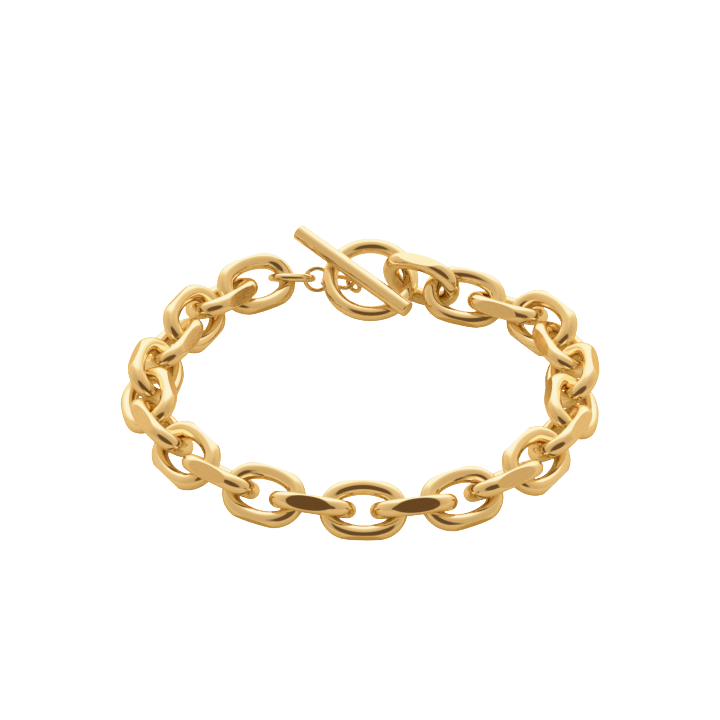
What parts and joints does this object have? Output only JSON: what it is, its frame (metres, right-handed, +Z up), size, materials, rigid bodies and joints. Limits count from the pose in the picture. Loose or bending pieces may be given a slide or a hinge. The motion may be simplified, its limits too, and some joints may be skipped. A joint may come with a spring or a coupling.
{
  "type": "link bracelet",
  "caption": "Closed bracelet of heavy oval links with filed flat sides, fastened by a round bar through a round ring, lying flat in a loop.",
  "frame": {"origin": "on the surface that the bracelet lies on, under the middle of its outline", "axes": "+Z up from the surface, +X to the right as seen from the front, +Y towards the clasp at the back"},
  "size_m": [0.07, 0.0668, 0.0098],
  "materials": {
    "heavy_links": "polished yellow gold plating",
    "clasp": "polished yellow gold plating",
    "small_links": "polished yellow gold plating"
  },
  "bodies": {
    "root": {"link_01": "heavy_links", "link_02": "heavy_links", "link_03": "heavy_links", "link_04": "heavy_links", "link_05": "heavy_links", "link_06": "heavy_links", "link_07": "heavy_links", "link_08": "heavy_links", "link_09": "heavy_links", "link_10": "heavy_links", "link_11": "heavy_links", "link_12": "heavy_links", "link_13": "heavy_links", "link_14": "heavy_links", "link_15": "heavy_links", "link_16": "heavy_links", "link_17": "heavy_links", "link_18": "heavy_links", "link_19": "heavy_links", "link_20": "heavy_links", "link_21": "heavy_links", "link_22": "heavy_links", "link_23": "heavy_links", "link_24": "heavy_links", "toggle_ring": "clasp", "toggle_bar": "clasp", "small_link_1": "small_links", "small_link_2": "small_links", "small_link_3": "small_links"}
  },
  "joints": []
}
